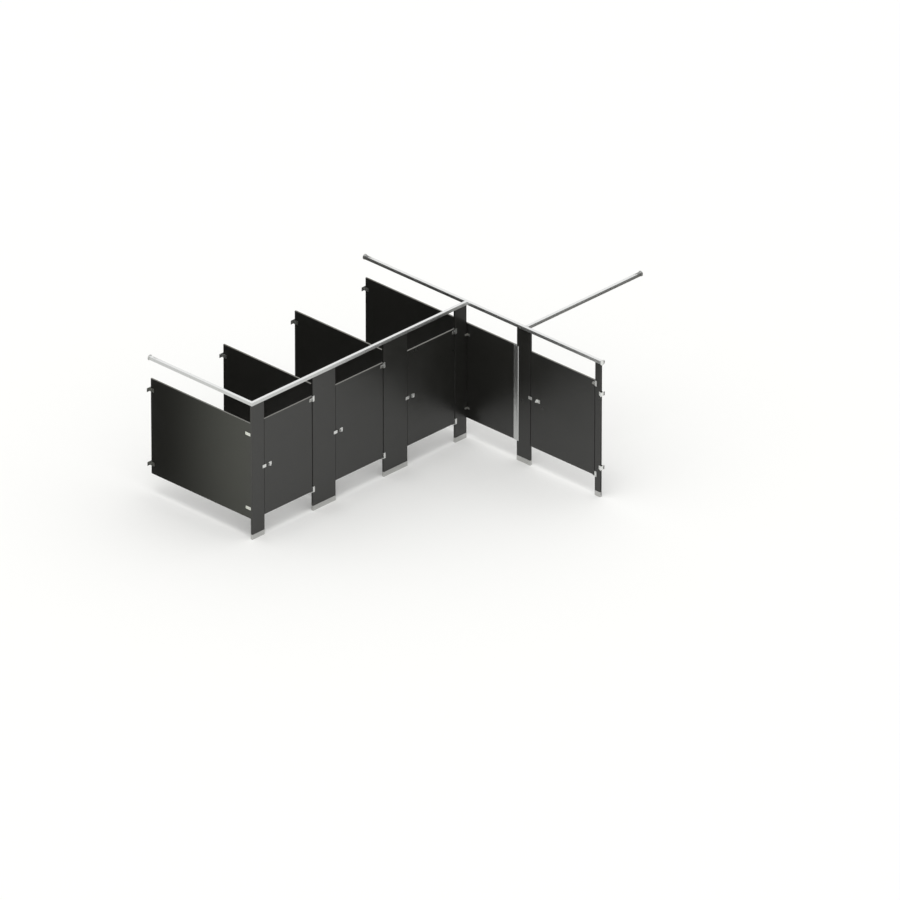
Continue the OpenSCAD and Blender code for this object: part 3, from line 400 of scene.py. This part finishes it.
def extruded_aluminium(name, along):
    """Anodised aluminium with die lines along one axis, as noise squeezed across it.

    They are drawn coarser than real ones. The top is painted brighter than the sides, a painted
    highlight.
    """
    m, tree, shader = material(name)
    place = add(tree, "TexCoord").outputs["Object"]
    stretch = add(tree, "Mapping", [("Vector", place)])
    stretch.inputs["Scale"].default_value = [1 / (die_line_l if i == along else die_line)
                                             for i in range(3)]
    line = add(tree, "TexNoise", [("Vector", stretch.outputs["Vector"])], scale=1.0, detail=2.0)
    bump = add(tree, "Bump", [("Height", line.outputs["Fac"])], strength=0.15, distance=0.02 * mm)
    sheen = add(tree, "MapRange", [("Value", line.outputs["Fac"])],
                from_min=0.3, from_max=0.7, to_min=0.24, to_max=0.34)
    facing = add(tree, "SeparateXYZ", [("Vector", add(tree, "NewGeometry").outputs["Normal"])])
    # Painted highlight: faces that look up are painted brighter than the sides.
    painted_rail_top_light = add(tree, "ValToRGB", [("Fac", facing.outputs["Z"])])
    painted_rail_top_light.color_ramp.elements[0].position = 0.2
    painted_rail_top_light.color_ramp.elements[0].color = colour("c8c9c8")
    painted_rail_top_light.color_ramp.elements[1].position = 0.8
    painted_rail_top_light.color_ramp.elements[1].color = colour("e6e7e6")
    shader.inputs["Metallic"].default_value = 1
    tree.links.new(painted_rail_top_light.outputs["Color"], shader.inputs["Base Color"])
    tree.links.new(sheen.outputs["Result"], shader.inputs["Roughness"])
    tree.links.new(bump.outputs["Normal"], shader.inputs["Normal"])
    return m


wear(extruded_aluminium("anodised_aluminium_along_x", 0), "front_headrail", "brace_headrail")
wear(extruded_aluminium("anodised_aluminium_along_y", 1), "end_headrail", "run_headrail")
wear(extruded_aluminium("anodised_aluminium_upright", 2), "joining_channel")
wear(stainless, "headrail_splices")
wear(cast, "rail_wall_flanges")

# Headrail screws: two small ones go through one side of the rail into each pilaster's top, so
# that the rail can't lift off.
pin_drop = 39 * mm
rail_seats = []
for node in pilasters:
    lo, hi, along = lengthwise(node)
    rail_lo, rail_hi = np.array(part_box("front_headrail" if along == 0 else "run_headrail"))
    middle = (lo + hi)[along] / 2
    quarter = (hi - lo)[along] / 4
    for s in (-1, 1):
        seat = np.array([0, 0, rail_hi[2] - pin_drop])
        seat[along] = middle + s * quarter
        seat[1 - along] = rail_lo[1 - along]
        rail_seats.append((seat, -np.eye(3)[1 - along]))
set_in("headrail_screws", small_screw, rail_seats, stainless, "frame")

# Flange screws: the larger stainless screws again, four in each flange's base, at the ends of
# an upright cross.
flange_metal = 5 * mm
flange_screw_r = 35 * mm
flange_seats = []
for lo, hi in parts_of("rail_wall_flanges"):
    middle = (lo + hi) / 2
    axis = int(np.argmin((hi - lo)[:2]))
    behind = 1 if middle[axis] > 0 or axis == 0 else -1
    base = (hi if behind > 0 else lo)[axis] - behind * flange_metal
    for across, rise in ((1, 0), (-1, 0), (0, 1), (0, -1)):
        seat = middle.copy()
        seat[axis] = base
        seat[1 - axis] += across * flange_screw_r
        seat[2] += rise * flange_screw_r
        flange_seats.append((seat, -behind * np.eye(3)[axis]))
set_in("flange_screws", wall_screw, flange_seats, stainless, "frame")

# Hinges: cast brackets wrap the pilaster's edge and hold the pins, which turn in a block let
# into the door above and in a bush below, on nylon cams.
pilaster_half = 15.875 * mm
panel_half = 12.7 * mm
pivot_inset = 25 * mm
hinge_metal = 3 * mm
hinge_screw_x = 58 * mm
hinge_screw_steps = (14 * mm, 71 * mm)
block_screw_steps = (10 * mm, 38 * mm)
block_screw_drop = 17 * mm

# Moulded nylon: near black and dull, with the grain of its mould
nylon, tree, shader = material("black_nylon")
place = add(tree, "TexCoord").outputs["Object"]
grain = add(tree, "TexNoise", [("Vector", place)], scale=1 / grit, detail=1.0)
bump = add(tree, "Bump", [("Height", grain.outputs["Fac"])], strength=0.3, distance=0.04 * mm)
shader.inputs["Base Color"].default_value = colour("232427")
shader.inputs["Roughness"].default_value = 0.55
tree.links.new(bump.outputs["Normal"], shader.inputs["Normal"])
wear(nylon, "lower_cams")
wear(cast, "upper_hinge_brackets", "lower_hinge_brackets")
# The hinge blocks get the darker copy of the satin chrome, painted shade.
wear(shaded_chrome, *(f"{d}_hinge_blocks" for d in doors))
wear(stainless, "hinge_pins")
hinge_at = {j["child"]: np.array(j["pos_m"]) for j in frame["record"]["behaviour"]["joints"]
            if j["type"] == "hinge"}


def in_door(door, points):
    """World places of points in a door's own frame: its pivot at X = Y = 0, its board along -X."""
    p = np.array(points, float)
    if lengthwise(door)[2] == 1:
        p = np.stack([p[..., 1], -p[..., 0], p[..., 2]], axis=-1)
    return p + hinge_at[door] * (1, 1, 0)


def door_seats(door, places, out):
    """Screw seats from places in the door's frame, each facing along Y by the sign out."""
    turned = in_door(door, [[0, out, 0]]) - hinge_at[door] * (1, 1, 0)
    return [(point, turned[0]) for point in in_door(door, places)]


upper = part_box("upper_hinge_brackets")[1][2]
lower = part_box("lower_hinge_brackets")[0][2]
bracket_rows = [upper - z for z in hinge_screw_steps] + [lower + z for z in hinge_screw_steps]
hinge_seats = []
for door in doors:
    block_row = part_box(f"{door}_hinge_blocks")[1][2] - block_screw_drop
    block_seats = []
    for out in (-1, 1):
        on_bracket = [[hinge_screw_x, out * (pilaster_half + hinge_metal), z] for z in bracket_rows]
        hinge_seats += door_seats(door, on_bracket, out)
        on_block = [[pivot_inset - x, out * panel_half, block_row] for x in block_screw_steps]
        block_seats += door_seats(door, on_block, out)
    set_in(f"{door}_hinge_block_screws", small_screw, block_seats, stainless, door)
set_in("hinge_screws", small_screw, hinge_seats, stainless, "frame")

# Latch side: a keeper wraps the pilaster's edge, with a rubber bumper for the door and a staple
# for the bolt. The bolt slides in a cast case inside, and a cast pull sits outside, farther
# from the edge on the wide door.
latch_z = 1.055
latch_gap = 8 * mm
keeper_metal = 2.5 * mm
keeper_screw_x = 24 * mm
keeper_screw_z = 14 * mm
pull_inset = 70 * mm
wide_pull_inset = 112 * mm
pull_metal = 3.5 * mm
pull_screw_x = 42 * mm
pull_screw_z = 16 * mm
case_depth = 22 * mm
case_screw_steps = (15 * mm, 81 * mm)
case_screw_z = 12 * mm

# Moulded rubber: matt, with a faint bloom that clouds its black
bloom_size = 11 * mm
rubber, tree, shader = material("matt_black_rubber")
place = add(tree, "TexCoord").outputs["Object"]
bloom = add(tree, "TexNoise", [("Vector", place)], scale=1 / bloom_size, detail=3.0)
tint = add(tree, "ValToRGB", [("Fac", bloom.outputs["Fac"])])
tint.color_ramp.elements[0].color = colour("1b1b1c")
tint.color_ramp.elements[1].color = colour("2a2a2b")
shader.inputs["Roughness"].default_value = 0.8
tree.links.new(tint.outputs["Color"], shader.inputs["Base Color"])
wear(rubber, "keeper_bumpers")
wear(cast, "keepers", *(f"{d}_{p}" for d in doors for p in ("pull", "latch_case")))
wear(stainless, *(f"{d}_bolt" for d in doors), *(f"{d}_coat_hook" for d in doors))
keeper_rows = (latch_z - keeper_screw_z, latch_z + keeper_screw_z)
pull_rows = (latch_z - pull_screw_z, latch_z + pull_screw_z)
case_rows = (latch_z - case_screw_z, latch_z + case_screw_z)
keeper_seats = []
for door in doors:
    lo, hi, along = lengthwise(door)
    edge = pivot_inset - (hi - lo)[along]
    plate = edge + (wide_pull_inset if along == 1 else pull_inset)
    for out in (-1, 1):
        on_keeper = [[edge - latch_gap - keeper_screw_x, out * (pilaster_half + keeper_metal), z]
                     for z in keeper_rows]
        keeper_seats += door_seats(door, on_keeper, out)
    on_pull = [[plate + pull_screw_x, -panel_half - pull_metal, z] for z in pull_rows]
    set_in(f"{door}_pull_screws", small_screw, door_seats(door, on_pull, -1), stainless, door)
    on_case = [[edge + x, panel_half + case_depth, z] for x in case_screw_steps for z in case_rows]
    set_in(f"{door}_latch_screws", small_screw, door_seats(door, on_case, 1), stainless, door)
set_in("keeper_screws", small_screw, keeper_seats, stainless, "frame")

# Coat hooks: a bent stainless wire on a rose, and a stem with a rubber tip that stops the door.
# The tip is a dome, r = R cos t and z = R sin t, over a short neck that closes it inside.
hook_drop = 138 * mm
rose_metal = 3 * mm
rose_screw_x = 15 * mm
stem_l = 52 * mm
tip_r = 8.6 * mm
neck = 6 * mm
a = np.arange(24) * math.tau / 24
t = np.linspace(0, math.pi / 2, 7)
r = np.concatenate([[0, 0.9 * tip_r], tip_r * np.cos(t)])
h = np.concatenate([[-neck, -neck], tip_r * np.sin(t)])
tip = np.stack([np.outer(r, np.cos(a)), np.outer(r, np.sin(a)), np.outer(h, np.ones(24))], axis=-1)
tip_shape = tip.reshape(-1, 3), quads(*tip.shape[:2])
for door in doors:
    lo, hi, along = lengthwise(door)
    z = hi[2] - hook_drop
    x = pivot_inset - (hi - lo)[along] / 2
    on_rose = [[x + s * rose_screw_x, panel_half + rose_metal, z] for s in (-1, 1)]
    set_in(f"{door}_hook_screws", small_screw, door_seats(door, on_rose, 1), stainless, door)
    on_stem = [[x, panel_half + stem_l, z]]
    set_in(f"{door}_hook_bumper", tip_shape, door_seats(door, on_stem, 1), rubber, door)

# Studio: a plain matt white floor that runs far past the picture's edges, a white sky that the
# metal mirrors in full, and one broad soft lamp almost straight above.
floor_half = 400
floor_mesh = bpy.data.meshes.new("studio_floor")
corners = [(-floor_half, -floor_half, 0), (floor_half, -floor_half, 0),
           (floor_half, floor_half, 0), (-floor_half, floor_half, 0)]
floor_mesh.from_pydata(corners, [], [(0, 1, 2, 3)])
floor = bpy.data.objects.new("studio_floor", floor_mesh)
bpy.context.scene.collection.objects.link(floor)
white, tree, shader = material("matt_white_studio_floor")
shader.inputs["Base Color"].default_value = colour("f8f8f6")
shader.inputs["Roughness"].default_value = 1
shader.inputs["Specular IOR Level"].default_value = 0
floor_mesh.materials.append(white)

# Cards seen only in reflections. A grey one behind the dividers and a paler one round the far
# side stand close to the set, as dull surfaces always do round a real one, and darken its inner
# faces and rails. A graduated one beside the end panel is black at its back and clear in front.
card_gap = 10 * mm
card_h = 2.2
pale_end_x = 4.15
beside_x = -0.3
beside_y = (0.2, 2.4)
beside_h = 1.85
clear_y = 0.18
black_y = 2.06
blackest = 0.92


def reflected_card(name, plan, height):
    """An upright card along the points of a plan that only mirror rays see, and its shader."""
    mesh = bpy.data.meshes.new(name)
    verts = [(x, y, z) for x, y in plan for z in (0, height)]
    mesh.from_pydata(verts, [], [(i, i + 2, i + 3, i + 1) for i in range(0, len(verts) - 2, 2)])
    card = bpy.data.objects.new(name, mesh)
    bpy.context.scene.collection.objects.link(card)
    m, tree, shader = material(f"matt_{name}")
    shader.inputs["Roughness"].default_value = 1
    shader.inputs["Specular IOR Level"].default_value = 0
    mesh.materials.append(m)
    card.visible_camera = False
    card.visible_diffuse = False
    card.visible_shadow = False
    card.visible_transmission = False
    return tree, shader


behind_y = bounds_before[1][1] + card_gap
far_x = bounds_before[1][0] + card_gap
far_y = bounds_before[0][1] - card_gap
tree, shader = reflected_card("grey_card", [(0, behind_y), (far_x, behind_y)], card_h)
shader.inputs["Base Color"].default_value = colour("6f6e6b")
round_far_side = [(far_x, behind_y), (far_x, far_y), (pale_end_x, far_y)]
tree, shader = reflected_card("pale_card", round_far_side, card_h)
shader.inputs["Base Color"].default_value = colour("9a9996")
tree, shader = reflected_card("graduated_card", [(beside_x, y) for y in beside_y], beside_h)
depth = add(tree, "SeparateXYZ", [("Vector", add(tree, "TexCoord").outputs["Object"])])
shade = add(tree, "MapRange", [("Value", depth.outputs["Y"])], from_min=clear_y, from_max=black_y,
            to_max=blackest, interpolation_type="SMOOTHSTEP")
clear = add(tree, "BsdfTransparent")
clear.inputs["Color"].default_value = colour("fdfff4")
blend = add(tree, "MixShader", [(0, shade.outputs["Result"]), (1, clear.outputs["BSDF"]),
                                (2, shader.outputs["BSDF"])])
shader.inputs["Base Color"].default_value = colour("000000")
tree.links.new(blend.outputs["Shader"], tree.nodes["Material Output"].inputs["Surface"])

# The sky is seen and mirrored at full white, and lights the set at a little less
sky_light = 0.78
world = bpy.data.worlds.new("studio_light")
bpy.context.scene.world = world
world.use_nodes = True
tree = world.node_tree
ray = add(tree, "LightPath")
mirror = add(tree, "Math", [(0, ray.outputs["Is Glossy Ray"]), (1, ray.outputs["Is Transmission Ray"])],
             operation="MAXIMUM")
seen = add(tree, "Math", [(0, ray.outputs["Is Camera Ray"]), (1, mirror.outputs["Value"])],
           operation="MAXIMUM")
strength = add(tree, "MapRange", [("Value", seen.outputs["Value"])], to_min=sky_light, to_max=1.0)
tree.links.new(strength.outputs["Result"], tree.nodes["Background"].inputs["Strength"])
tree.nodes["Background"].inputs["Color"].default_value = (1, 1, 1, 1)

sun = bpy.data.objects.new("key_light", bpy.data.lights.new("key_light", "SUN"))
sun.data.energy = 0.96
sun.data.angle = math.radians(34)
sun.rotation_euler = (math.radians(4), math.radians(-7), 0)
bpy.context.scene.collection.objects.link(sun)
